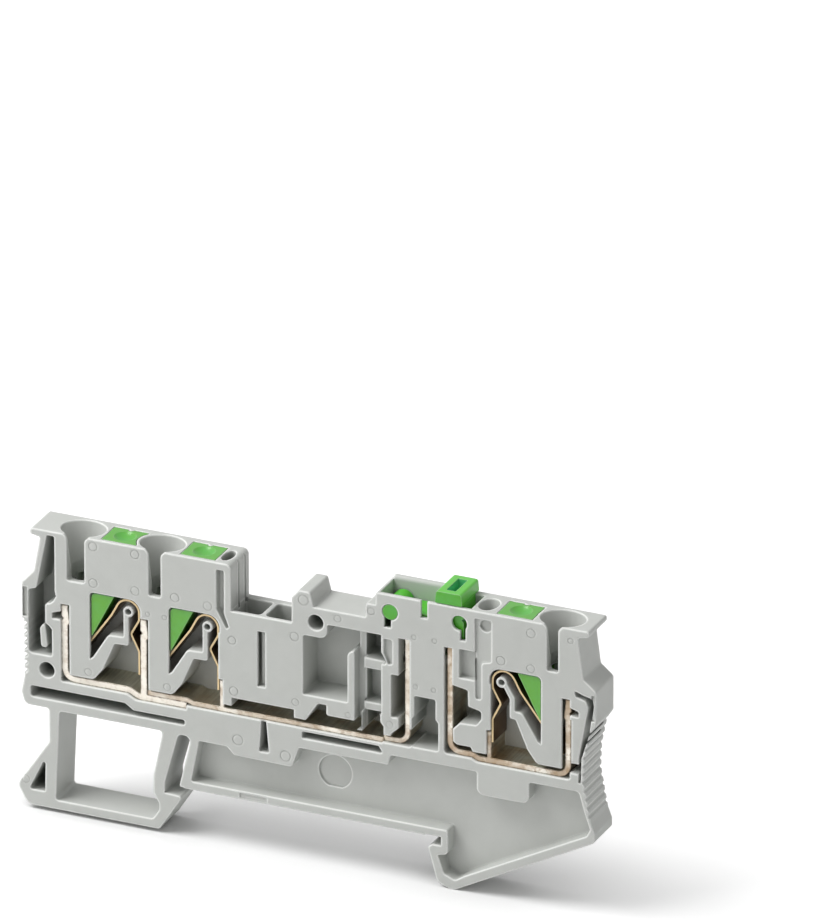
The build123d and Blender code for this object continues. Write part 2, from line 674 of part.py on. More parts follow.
def make_housing():
    body = prism(housing_outline(), 0, block_width)
    cuts = grip_grooves() + foot_cuts() + left_end_pockets() + right_end_pockets() + beam_slots()
    cuts += bar_channel() + bridge_cuts() + compartments() + left_fork_cuts() + right_fork_cuts()
    cuts += knife_cuts()
    for clamp in clamps:
        cuts += clamp_cuts(clamp)
    cuts.append(lug_pocket(clamps[1]))
    cuts.append(lug_pocket(clamps[2]))
    body -= cuts
    islands = [lens_rib()]
    for clamp in clamps:
        islands += clamp_islands(clamp)
    bead_radius = back_wall / 2
    bead = Pos(well_left + bead_length / 2, depth(block_width - bead_radius), top_z) * Rot(0, 90, 0)
    islands.append(bead * Cylinder(bead_radius, bead_length))
    body += islands
    late = top_details() + mould_marks()
    for clamp in clamps:
        late += funnel_cut(clamp)
        late.append(shaft_top(clamp, 0, top_z + 2))
        late.append(disc(clamp.pin_x, pin_z, pin_bore, -0.5, pocket - 0.6))
    body -= late
    return body


# Current bars

def lug_reach():
    """Inner face of the small upright lug that backs a spring."""
    return -(spring_back + spring_thickness / 2 + 0.06)


def lug_pocket(clamp):
    """Room for the lug beside the spring window."""
    return clamp.block(0, lug_reach() - lug_thickness, column_foot - 0.6, lug_height + 0.3, -0.5, pocket)


def lug(clamp, z_low):
    """Small upright lug of a bar, behind a spring's back leg."""
    outer = lug_reach() - lug_thickness
    return clamp.block(lug_reach(), outer, z_low, lug_height, pocket - bar_width, pocket)


def upright(clamp, z_low):
    """Straight upright of a bar beside a wire chamber."""
    return clamp.block(bar_reach, clamp.bar_far, z_low, bar_top, pocket - bar_width, pocket)


def barbed(bar, clamp):
    """The bar with a barb and a notch near its upper end, where it locks in the housing."""
    near = pocket - bar_width
    tooth = [(bar_reach + 0.05, barb_z - 0.1), (bar_reach - barb, barb_z + 0.15), (bar_reach + 0.05, bar_top - 0.2)]
    notch = at(clamp.bar_far, [(0.1, barb_z + 0.35), (-0.22, barb_z + 0.75), (0.1, barb_z + 1.2)])
    return bar + clamp.prism(tooth, near, pocket) - clamp.prism(notch, near - 1, pocket + 1)


def make_left_bar():
    half = bar_thickness / 2
    x = clamps[0].x(bar_reach + half)
    path = [
        (x, bar_top), (x, left_bar_z + half, bend), (pin_1_x, left_bar_z + half, 0.6),
        (pin_1_x + 1.1, low_bar_z + half, 0.6), (left_bar_end, low_bar_z + half),
    ]
    bar = strip(path, bar_thickness, pocket - bar_width, pocket)
    bar += upright(clamps[1], low_bar_z + half)
    return barbed(barbed(bar, clamps[0]), clamps[1])


def make_centre_bar():
    half = centre_thickness / 2
    start = clamps[1].x(bar_reach) + 0.1
    on_left_bar = low_bar_z + bar_thickness + half
    path = [
        (start, on_left_bar), (left_bar_end + 0.15, on_left_bar, 0.4),
        (left_bar_end + 0.85, centre_bar_z + half, 0.4), (bar_joint_x, centre_bar_z + half),
    ]
    return strip(path, centre_thickness, pocket - bar_width, pocket) + lug(clamps[1], centre_bar_z + half)


def fork_slot(x):
    """Gap between the tines, open at the top."""
    gap = blade_thickness / 2 + blade_play
    return block(x - 2, x + 2, well_floor + 0.2, fork_top + 2, middle - gap, middle + gap)


def make_left_fork():
    half = fork_thickness / 2
    foot = centre_bar_z + 0.15 + half
    path = [(bar_joint_x, foot), (left_fork_x, foot, bend), (left_fork_x, fork_top)]
    near = pocket - bar_width + 0.2
    return strip(path, fork_thickness, near, pocket - 0.2) - fork_slot(left_fork_x)


def make_right_bar():
    half = right_thickness / 2
    x = clamps[2].x(bar_reach + half)
    high = right_bar_z + bar_step + half
    low = right_bar_z + half
    path = [
        (right_fork_x, fork_top), (right_fork_x, high, bend), (21.5, high, 0.6), (22.3, low, 0.6),
        (x, low, bend), (x, bar_top),
    ]
    bar = strip(path, right_thickness, pocket - bar_width, pocket)
    return barbed(bar + lug(clamps[2], low), clamps[2]) - fork_slot(right_fork_x)


# Springs and buttons

def spring_path():
    """Middle line of a clamp spring: wire leg, arch over the pin and the leg that backs on the bar."""
    rise = Vector(-3.0, 5.6).normalized()
    knee = Vector(knee_reach, pin_z - 0.95)
    peak = knee + rise * ((knee.X + spring_back) / -rise.X)
    return [
        (bar_reach - 0.3, 12.95), (knee.X, knee.Y, 1.5), (peak.X, peak.Y, spring_arch),
        (-spring_back, 20.4, 0.5), (-0.2, 18.5, 0.5), (-spring_back, 16.4, 0.5),
        (-spring_back, spring_foot),
    ]


def make_spring(clamp):
    """Bent strip whose front edge runs back from the knee to the tip, clear of the column."""
    spring = strip(clamp.points(spring_path()), spring_thickness, spring_front, pocket - spring_rear_gap)
    taper = clamp.points([
        (knee_reach, spring_front), (bar_reach, spring_front + spring_taper), (bar_reach, -1), (knee_reach, -1),
    ])
    return spring - shaft(taper, spring_foot - 2, pin_z)


def make_button(clamp):
    """Button head, its broader body below the funnel and the wedge beside the spring's leg."""
    near = front_wall + button_gap
    far = pocket - button_gap
    outer = wire_reach - 0.1
    wedge_top_z = window_top + 1.45
    lean = (outer - 0.1 - wedge_top_reach) / (wedge_top_z - wedge_tip)
    body = [
        (outer, button_shoulder), (outer, wedge_tip, 0.05), (outer - 0.1, wedge_tip, 0.05),
        (wedge_top_reach, wedge_top_z), (-0.6, wedge_top_z + 0.15, 0.2), (-0.6, button_shoulder),
    ]
    face_z = window_top - 2 * button_gap
    face = [
        (outer, face_z, window_round), (outer, wedge_tip, 0.05), (outer - 0.1, wedge_tip, 0.05),
        (outer - 0.1 - lean * (face_z - wedge_tip), face_z),
    ]
    button = clamp.prism(body, near, far) + clamp.prism(face, wedge_front, near + 0.1)
    button += shaft_top(clamp, button_gap, top_z)
    ball_radius = (dish_radius ** 2 + dish_depth ** 2) / (2 * dish_depth)
    x = clamp.x((button_outer - button_inner) / 2)
    return button - Pos(x, depth(middle), top_z - dish_depth + ball_radius) * Sphere(ball_radius)


# Lever and knife

def blade_outline():
    return [
        (12.0, 26.6, 0.3), (12.0, blade_bottom + 0.2, 0.5), (15.75, blade_bottom - 0.05, 3.0),
        (18.9, blade_bottom + 0.1, 1.6), (19.85, 23.6, 1.6), (19.85, 26.6, 0.3),
    ]


def make_blade():
    half = blade_thickness / 2
    return prism(blade_outline(), middle - half, middle + half)


def make_lever():
    near = front_wall + lever_gap
    far = pocket - lever_gap
    arm_top = pivot_z + 0.25
    arm = [
        (pivot_x, arm_top), (16.1, arm_top, 0.5), (head_left, pivot_z + 1.1, 0.4), (head_left, top_z + 0.3),
        (head_right - 0.1, top_z + 0.3), (head_right, 28.3, 0.2), (head_right - 0.3, 28.05, 0.1),
        (head_right, 27.8, 0.2), (head_right, 24.95, 0.4), (18.2, 24.95, 0.2), (17.6, 24.2, 0.6),
        (16.9, 23.4, 0.5), (15.3, 23.4, 0.5), (14.6, 24.4, 0.6), (14.3, 24.85, 0.2), (12.2, 24.85, 0.6),
        (pivot_x, pivot_z - 1.2),
    ]
    lever = prism(arm, near, far) + disc(pivot_x, pivot_z, hub_radius, near, far)
    head = [
        (head_left, top_z + 0.1, 0.15), (head_left + 0.15, head_top, 0.3), (head_right - 0.15, head_top, 0.3),
        (head_right, top_z + 0.1, 0.15),
    ]
    lever += prism(head, head_margin, block_width - head_margin)
    lever += disc(pivot_x, pivot_z, pivot_radius, 0.05, pocket + 0.45)
    lever -= prism(blade_outline(), middle - blade_thickness / 2, middle + blade_thickness / 2)
    head_mid = (head_left + head_right) / 2
    slot_half = driver_slot_width / 2
    slot_reach = driver_slot_length / 2
    lever -= block(
        head_mid - slot_half, head_mid + slot_half, head_top - driver_slot_depth, head_top + 1,
        block_width / 2 - slot_reach, block_width / 2 + slot_reach,
    )
    lever -= block(17.4, 18.3, 27.6, 29.6, near - 0.5, near + 0.5, 0.1)
    lever += disc(14.5, 26.3, 0.45, near - 0.1, near + 0.2)
    return lever


pieces = {
    "housing": make_housing(),
    "left_current_bar": make_left_bar(),
    "centre_current_bar": make_centre_bar(),
    "left_fork_contact": make_left_fork(),
    "right_current_bar": make_right_bar(),
    "disconnect_lever": make_lever(),
    "knife_blade": make_blade(),
}
for number, clamp in enumerate(clamps, start=1):
    pieces[f"clamp_spring_{number}"] = make_spring(clamp)
    pieces[f"push_button_{number}"] = make_button(clamp)

os.makedirs("parts", exist_ok=True)
for name, shape in pieces.items():
    shape.label = name
    export_step(shape, f"parts/{name}.step")
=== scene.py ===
"""A knife-disconnect terminal block, finished for a studio picture."""

from math import cos, radians, sin

import bmesh
import bpy
from bpy.props import FloatProperty, FloatVectorProperty, IntProperty, PointerProperty
from mathutils import Matrix, Vector


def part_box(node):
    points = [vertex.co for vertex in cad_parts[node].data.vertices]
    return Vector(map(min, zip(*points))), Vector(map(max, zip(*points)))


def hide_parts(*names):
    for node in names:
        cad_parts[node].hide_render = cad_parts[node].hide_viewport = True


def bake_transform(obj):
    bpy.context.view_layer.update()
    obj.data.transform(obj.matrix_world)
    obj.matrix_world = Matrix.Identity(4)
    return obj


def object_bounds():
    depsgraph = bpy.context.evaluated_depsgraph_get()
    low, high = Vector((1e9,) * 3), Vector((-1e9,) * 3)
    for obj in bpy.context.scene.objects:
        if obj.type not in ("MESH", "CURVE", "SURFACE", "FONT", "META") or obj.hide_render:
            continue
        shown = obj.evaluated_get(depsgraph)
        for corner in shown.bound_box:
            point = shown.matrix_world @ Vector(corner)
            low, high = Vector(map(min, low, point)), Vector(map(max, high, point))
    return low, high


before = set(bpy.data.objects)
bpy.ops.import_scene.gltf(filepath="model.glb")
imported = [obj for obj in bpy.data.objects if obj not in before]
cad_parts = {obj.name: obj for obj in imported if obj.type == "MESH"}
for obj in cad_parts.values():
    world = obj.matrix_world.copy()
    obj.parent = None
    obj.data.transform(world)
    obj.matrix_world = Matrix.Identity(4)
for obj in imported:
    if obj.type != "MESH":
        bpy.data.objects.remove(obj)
cad_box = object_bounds()

bl_info = {
    "name": "Knife-disconnect terminal block",
    "version": (1, 0, 0),
    "blender": (4, 5, 0),
    "location": "3D View > Sidebar > Terminal block",
    "description": "Finishes the terminal block's pieces and sets it on a studio floor",
    "category": "Object",
}

MM = 0.001
ACROSS = Vector((0, 1, 0))
UP = Vector((0, 0, 1))
OPEN_SIDE = (0, -1, 0)
FAR_SIDE = (0, 1, 0)

BUTTONS = ("push_button_1", "push_button_2", "push_button_3")
# How far each bar's plating is worn down to the copper: 0 is not at all and 1 is wholly
BAR_WEAR = {
    "left_current_bar": 0.1,
    "left_fork_contact": 0.35,
    "centre_current_bar": 0.5,
    "right_current_bar": 0.75,
}

# The clamp spring's line in millimetres, each point by its reach from the pin and its height over the rail
TIP = (7.45, 13.23)
KNEE = (2.3, 20.45)
WAIST = (-0.2, 18.5)
# Heights of the rear leg's shoulder, hip and seat, which all stand straight below the arch
SHOULDER_Z = 20.4
HIP_Z = 16.4
SEAT_Z = 13.4
# Rise of the clamping leg from the knee to the arch, for each millimetre towards the pin
UPPER_RISE = 5.6 / 3.0
# Bevel on the strip's sheared edges
BROKEN_EDGE = 0.03


def colour(code):
    """The linear colour of a written one, such as c8c9c6."""
    parts = [int(code[place:place + 2], 16) / 255 for place in (0, 2, 4)]
    return tuple(
        part / 12.92 if part <= 0.04045 else ((part + 0.055) / 1.055) ** 2.4 for part in parts
    )


def colour_property(name, description, code):
    """A colour that is written as a code and kept linear."""
    return FloatVectorProperty(
        name=name, description=description, default=colour(code), size=3, min=0, max=1, subtype="COLOR"
    )


def share_property(name, description, default):
    """A share from 0 to 1."""
    return FloatProperty(
        name=name, description=description, default=default, min=0, max=1, subtype="FACTOR"
    )


def power_property(name, description, default):
    """A lamp's power in watts."""
    return FloatProperty(name=name, description=description, default=default, min=0, unit="POWER")


def angle_property(name, description, degrees):
    """An angle that is given in degrees and kept in radians."""
    return FloatProperty(name=name, description=description, default=radians(degrees), unit="ROTATION")


def length_property(name, description, default):
    """A length that is given in millimetres and kept in metres."""
    return FloatProperty(
        name=name, description=description, default=default * MM, min=0, unit="LENGTH", precision=6
    )


class MouldingSettings(bpy.types.PropertyGroup):
    """The finish of the moulded housing."""

    grey: colour_property("Grey", "Colour of the moulded housing", "bfc1bd")
    # The edge grey is a painted highlight on the moulded edges
    edge_highlight: colour_property("Edge grey", "Colour that the moulded edges catch", "eff0ed")
    # The deep grey is painted shade in the pockets, and also the darker tone of the faint clouds
    shade_and_cloud_grey: colour_property("Deep grey", "Colour in the pockets", "686d66")
    roughness: share_property("Roughness", "How matt the moulded faces are", 0.5)
    edge: length_property("Edge radius", "Radius that the mould leaves on every edge", 0.42)
    grain: length_property("Grain height", "Height of the fine spark-eroded grain", 0.01)


class GreenSettings(bpy.types.PropertyGroup):
    """The finish of the green buttons and of the lever."""

    button: colour_property("Button green", "Colour of the release buttons", "4e9f12")
    lever: colour_property("Lever green", "Colour of the disconnect lever", "52b81e")
    # The shaded green is painted shading in the dishes and the slot
    shaded: colour_property("Shaded green", "Colour in the dishes and in the slot", "66c896")
    # The wedge green is a painted shading of the wedges' faces toward the open side
    wedge: colour_property("Wedge green", "Colour of the wedges at the open side", "5ca42c")
    # The disc green is a painted shading of the lever's faces toward the open side
    disc: colour_property("Disc green", "Colour of the lever at the open side", "46a010")
    roughness: share_property("Roughness", "How satin the green pieces are", 0.34)
    edge: length_property("Edge radius", "Radius on the edges of the green pieces", 0.16)


class MetalSettings(bpy.types.PropertyGroup):
    """The finishes of the stamped metal."""

    cut: colour_property("Cut edge", "Colour of the sheared edge of a bar", "fdf7ec")
    tan: colour_property("Torn edge", "Colour where the shear has torn through to the copper", "a98c68")
    tin: colour_property("Tin", "Colour of the plated faces of a bar", "d6d4c4")
    copper: colour_property("Worn plating", "Colour of plating that is worn down to the copper", "b08f62")
    # The stain is real tarnish in the rolled streaks, the drawn strip and the blade's rim, and painted
    # shade along the bars' cut edges
    tarnish_and_shade: colour_property("Stain", "Colour of the tarnish along the edges and in the corners", "5b4530")
    spring: colour_property("Spring steel", "Colour of the sheared edge of the tempered strip", "d8c094")
    # The temper colour is the wide faces' brown, darkened further as painted shade
    temper_and_shade_brown: colour_property("Temper colour", "Brown of the strip's wide faces", "6b5642")
    blade: colour_property("Blade", "Colour of the silvered knife", "e6e6e0")


class SpringSettings(bpy.types.PropertyGroup):
    """The sizes of the clamp springs."""

    thickness: length_property("Strip thickness", "Thickness of the spring strip", 0.25)
    width: length_property("Strip width", "Width of the spring strip", 3.8)
    taper: length_property("Tip taper", "How far the strip's open side draws back at the tip", 0.5)
    rear: length_property("Rear leg", "Distance of the rear leg from the pin", 1.25)
    arch: length_property("Arch radius", "Radius of the arch over the pin", 1.45)
    bend: length_property("Bend radius", "Radius of the small bends in the rear leg", 0.5)
    knee: length_property("Knee radius", "Radius of the slight turn in the clamping leg", 1.5)
    steps: IntProperty(name="Bend steps", description="Facets round each bend", default=12, min=4, max=40)


class StageSettings(bpy.types.PropertyGroup):
    """The floor, the lamps and the camera."""

    floor: colour_property("Floor", "Colour of the floor", "e2e2e2")
    azimuth: angle_property("Azimuth", "Turn of the camera from the open side", 24.0)
    elevation: angle_property("Elevation", "Height of the camera above the floor", 24.5)
    distance: FloatProperty(
        name="Distance", description="From the block to the camera", default=2.217, unit="LENGTH"
    )
    lens: FloatProperty(
        name="Lens", description="Focal length in millimetres", default=742.5, min=1, unit="CAMERA"
    )
    key: power_property("Key lamp", "Power of the key lamp in watts", 3.4)
    fill: power_property("Fill lamp", "Power of the fill lamp in watts", 0.45)
    side: power_property("Side lamp", "Power of the side lamp in watts", 0.6)
    sky: share_property("Sky", "Strength of the even light from all round", 0.35)
    lift: share_property("Floor lift", "White that the camera sees on the floor besides its light", 0.42)


class Wire:
    """A node's output, with the arithmetic that adds Math nodes after it."""

    def __init__(self, finish, socket):
        self.finish = finish
        self.socket = socket

    def maths(self, operation, *values):
        """A Math node on the values."""
        return self.finish.add("ShaderNodeMath", {"operation": operation}, dict(enumerate(values)))

    def __add__(self, other):
        return self.maths("ADD", self, other)

    def __sub__(self, other):
        return self.maths("SUBTRACT", self, other)

    def __mul__(self, other):
        return self.maths("MULTIPLY", self, other)

    def __rsub__(self, other):
        return self.maths("SUBTRACT", other, self)

    __radd__ = __add__
    __rmul__ = __mul__

    def clipped(self):
        """The value, kept between 0 and 1."""
        return self.finish.add("ShaderNodeClamp", None, {"Value": self})

    def between(self, low, high):
        """0 below low, 1 above high, and even in between."""
        return ((self - low) * (1 / (high - low))).clipped()

    def output(self, name):
        """Another output of the same node."""
        return Wire(self.finish, self.socket.node.outputs[name])


class Finish:
    """One material, built from a few words."""

    bevel_samples = 8
    openness_samples = 6
    # Where an edge begins and where it is full, as 1 less the cosine of the rounded normal's lean
    edge_lean = (0.004, 0.07)

    def __init__(self, name, **constants):
        self.material = bpy.data.materials.new(name)
        self.material.use_nodes = True
        self.tree = self.material.node_tree
        self.tree.nodes.clear()
        self.surface = self.add("ShaderNodeBsdfPrincipled", None, constants).socket.node
        end = self.tree.nodes.new("ShaderNodeOutputMaterial")
        self.tree.links.new(self.surface.outputs[0], end.inputs["Surface"])
        self.place = self.add("ShaderNodeTexCoord").output("Object")

    def add(self, kind, settings=None, inputs=None, output=0):
        """A node of one kind, its settings first and then the values or links of its sockets."""
        node = self.tree.nodes.new(kind)
        for name, value in (settings or {}).items():
            setattr(node, name, value)
        for name, value in (inputs or {}).items():
            self.feed(node.inputs[name], value)
        return Wire(self, node.outputs[output])

    def feed(self, socket, value):
        """Link a wire to the socket, or set the socket's own value."""
        if isinstance(value, Wire):
            self.tree.links.new(value.socket, socket)
        elif socket.type == "RGBA":
            socket.default_value = (*value, 1)
        else:
            socket.default_value = value

    def mix(self, factor, low, high):
        """Low where the factor is 0 and high where it is 1, for colours."""
        return self.add("ShaderNodeMix", {"data_type": "RGBA"}, {0: factor, 6: low, 7: high}, output=2)

    def vectors(self, operation, *values, output=0):
        """A Vector Math node on the values."""
        return self.add("ShaderNodeVectorMath", {"operation": operation}, dict(enumerate(values)), output)

    def flat_normal(self):
        """The normal of the surface as it is meshed."""
        return self.add("ShaderNodeNewGeometry").output("Normal")

    def stretched(self, x, y, z):
        """The place on the piece, with each direction scaled."""
        return self.vectors("MULTIPLY", self.place, (x, y, z))

    def across(self):
        """The place across the block's narrow width."""
        return self.add("ShaderNodeSeparateXYZ", None, {"Vector": self.place}, output="Y")

    def noise(self, scale, detail, roughness, where=None):
        """A noise from 0 to 1, with so many cells to the metre."""
        inputs = {"Vector": where or self.place, "Scale": scale, "Detail": detail, "Roughness": roughness}
        return self.add("ShaderNodeTexNoise", None, inputs)

    def facing(self, direction):
        """How far the surface faces one way, from 0 to 1."""
        return self.vectors("DOT_PRODUCT", self.flat_normal(), direction, output="Value").clipped()

    def rounded(self, radius):
        """The normal of a surface with rounded edges, and how near each point is to such an edge."""
        bevel = self.add("ShaderNodeBevel", {"samples": self.bevel_samples}, {"Radius": radius})
        aligned = self.vectors("DOT_PRODUCT", bevel, self.flat_normal(), output="Value")
        return bevel, (1 - aligned).between(*self.edge_lean)

    def openness(self, reach):
        """1 in the open, and less where other faces stand within reach."""
        settings = {"samples": self.openness_samples, "only_local": True}
        return self.add("ShaderNodeAmbientOcclusion", settings, {"Distance": reach}, output="AO")

    def bump(self, height, distance, normal, strength):
        """The normal with a relief of that height laid on it."""
        inputs = {"Strength": strength, "Distance": distance, "Height": height, "Normal": normal}
        return self.add("ShaderNodeBump", None, inputs)

    def shade(self, **links):
        """Feed the surface's sockets, named with underscores for spaces, and give back the material."""
        for name, value in links.items():
            self.feed(self.surface.inputs[name.replace("_", " ")], value)
        return self.material


def dress(names, material):
    """Give CAD nodes their material."""
    for name in names:
        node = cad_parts[name]
        for slot in node.material_slots:
            slot.material = material


def housing_finish(settings):
    """Matt moulded polyamide: faint flow, fine grain, painted highlights on the edges and painted shade in
    the pockets.
    """
    finish = Finish("moulded_grey", **{"IOR": 1.5, "Specular IOR Level": 0.35})
    bevel, edge = finish.rounded(settings.edge)
    near = finish.openness(reach=0.8 * MM)
    far = finish.openness(reach=5.0 * MM)
    # The painted highlight goes on outer edges: an outer edge stands free, and an inner one has a wall
    # beside it
    highlit_edge = edge * near.between(0.65, 0.9)
    # Painted shade in the pockets: only what lies behind the open face darkens, so that shallow grooves
    # stay pale
    depth = finish.across() - cad_box[0][1]
    pocket_shade = (1 - far.between(0.05, 0.42)) * depth.between(0.5 * MM, 2.2 * MM)
    flow = finish.noise(scale=95, detail=4, roughness=0.55, where=finish.stretched(1.0, 0.35, 1.6))
    cloud = finish.noise(scale=420, detail=3, roughness=0.6)
    flowed = [part * 0.975 for part in settings.grey]
    body = finish.mix(flow.between(0.3, 0.75), settings.grey, flowed)
    body = finish.mix(cloud.between(0.45, 0.8) * 0.06, body, settings.shade_and_cloud_grey)
    # Painted shade in the pockets
    body = finish.mix(pocket_shade * 0.85, body, settings.shade_and_cloud_grey)
    # Painted highlight on the outer edges
    body = finish.mix(highlit_edge * 0.85, body, settings.edge_highlight)
    grain = finish.noise(scale=9000, detail=3, roughness=0.6)
    relief = finish.bump(grain + flow * 1.2, distance=settings.grain, normal=bevel, strength=0.5)
    gloss = settings.roughness + (cloud - 0.5) * 0.12 - highlit_edge * 0.08
    return finish.shade(Base_Color=body, Roughness=gloss, Normal=relief)


def green_finish(name, settings, main, open_side_shading):
    """Satin moulded green: a painted shading of the faces toward the open side, a paler bluer painted
    shading in the hollows, and painted highlights on the edges.
    """
    satin = {"IOR": 1.5, "Specular IOR Level": 0.5, "Coat Weight": 0.15, "Coat Roughness": 0.2}
    finish = Finish(name, **satin)
    bevel, edge = finish.rounded(settings.edge)
    near = finish.openness(reach=0.6 * MM)
    far = finish.openness(reach=2.0 * MM)
    # The painted highlight goes on outer edges only
    highlit_edge = edge * near.between(0.5, 0.85)
    cloud = finish.noise(scale=600, detail=3, roughness=0.6)
    pale = [part + (1 - part) * 0.28 for part in main]
    # Painted shading: faces toward the open side take a green of their own
    body = finish.mix(finish.facing(OPEN_SIDE), main, open_side_shading)
    body = finish.mix(cloud.between(0.35, 0.75) * 0.12, body, settings.shaded)
    # Painted shading in the hollows, in a paler bluer green
    body = finish.mix((1 - far.between(0.35, 0.9)) * 0.85, body, settings.shaded)
    # Painted highlight on the outer edges
    body = finish.mix(highlit_edge * 0.6, body, pale)
    grain = finish.noise(scale=7000, detail=3, roughness=0.6)
    banding = finish.noise(scale=900, detail=2, roughness=0.5, where=finish.stretched(0.12, 0.12, 1.0))
    relief = finish.bump(grain * 0.6 + banding, distance=0.012 * MM, normal=bevel, strength=0.55)
    gloss = settings.roughness + (cloud - 0.5) * 0.2
    return finish.shade(Base_Color=body, Roughness=gloss, Normal=relief)


def bar_finish(name, metal, wear):
    """Stamped bar: rolled and plated faces, and a sheared edge, mottled where it is torn, with a painted
    dark line of shade along its rim.
    """
    finish = Finish(name)
    bevel, edge = finish.rounded(radius=0.25 * MM)
    rolled = finish.noise(scale=2600, detail=4, roughness=0.6, where=finish.stretched(1.0, 0.04, 1.0))
    torn = finish.noise(scale=1300, detail=3, roughness=0.55)
    patch = finish.noise(scale=330, detail=3, roughness=0.55)
    sheared = finish.facing(OPEN_SIDE).between(0.6, 0.9)
    flat = finish.mix(patch.between(0.35, 0.65) * wear, metal.tin, metal.copper)
    flat = finish.mix(rolled.between(0.4, 0.75) * 0.4, flat, metal.tarnish_and_shade)
    cut = finish.mix(torn.between(0.5, 0.66) * (0.2 + wear * 0.6), metal.cut, metal.tan)
    bare = 0.43 - wear * 0.12
    cut = finish.mix(patch.between(bare, bare + 0.16) * wear, cut, metal.tan)
    # Painted shade: a dark line along the edges of the cut face
    cut = finish.mix(edge * torn.between(0.3, 0.55) * 0.8, cut, metal.tarnish_and_shade)
    body = finish.mix(sheared, flat, cut)
    relief = finish.bump(rolled * 0.5 + torn * sheared, distance=0.02 * MM, normal=bevel, strength=0.6)
    gloss = 0.32 + patch * 0.2 + sheared * 0.1
    return finish.shade(Base_Color=body, Metallic=1 - sheared * 0.8, Roughness=gloss, Normal=relief)


def spring_finish(settings):
    """Tempered strip: drawn along its length, with straw and brown bands, its wide faces darkened partly
    by temper and partly as painted shade.
    """
    finish = Finish("tempered_strip")
    drawn = finish.noise(scale=3400, detail=3, roughness=0.6, where=finish.stretched(0.15, 1.0, 0.15))
    band = finish.noise(scale=260, detail=3, roughness=0.5)
    sheared = finish.facing(OPEN_SIDE).between(0.3, 0.7)
    pale = [part * 1.5 for part in settings.temper_and_shade_brown]
    # The wide faces' brown is partly temper colour and partly painted shade
    flat = finish.mix(band.between(0.35, 0.7), settings.temper_and_shade_brown, pale)
    flat = finish.mix(drawn.between(0.35, 0.75) * 0.4, flat, settings.tarnish_and_shade)
    body = finish.mix(sheared, flat, settings.spring)
    relief = finish.bump(drawn, distance=0.012 * MM, normal=finish.flat_normal(), strength=0.5)
    gloss = 0.3 + band * 0.2 + sheared * 0.1
    return finish.shade(Base_Color=body, Metallic=1 - sheared * 0.7, Roughness=gloss, Normal=relief)


def blade_finish(settings):
    """Silver-plated knife: a polished face with light scratches and a dull rim."""
    finish = Finish("silvered_knife", **{"Metallic": 1.0})
    bevel, edge = finish.rounded(radius=0.06 * MM)
    scratch = finish.noise(scale=1500, detail=4, roughness=0.7, where=finish.stretched(0.2, 1.0, 1.5))
    cloud = finish.noise(scale=230, detail=3, roughness=0.6)
    rim = 1 - finish.facing(OPEN_SIDE) - finish.facing(FAR_SIDE)
    body = finish.mix(cloud.between(0.4, 0.75) * 0.35, settings.blade, settings.tin)
    body = finish.mix(rim.clipped() * 0.6, body, settings.tarnish_and_shade)
    body = finish.mix(edge * 0.4, body, settings.cut)
    relief = finish.bump(scratch, distance=0.008 * MM, normal=bevel, strength=0.5)
    gloss = 0.16 + cloud * 0.14
    return finish.shade(Base_Color=body, Roughness=gloss, Normal=relief)


def turned(vector, angle):
    """The vector, turned about the line across the block."""
    return Matrix.Rotation(angle, 3, ACROSS) @ vector


def only_face(geometry):
    """The one face among the parts of a mesh."""
    [face] = [part for part in geometry if isinstance(part, bmesh.types.BMFace)]
    return face


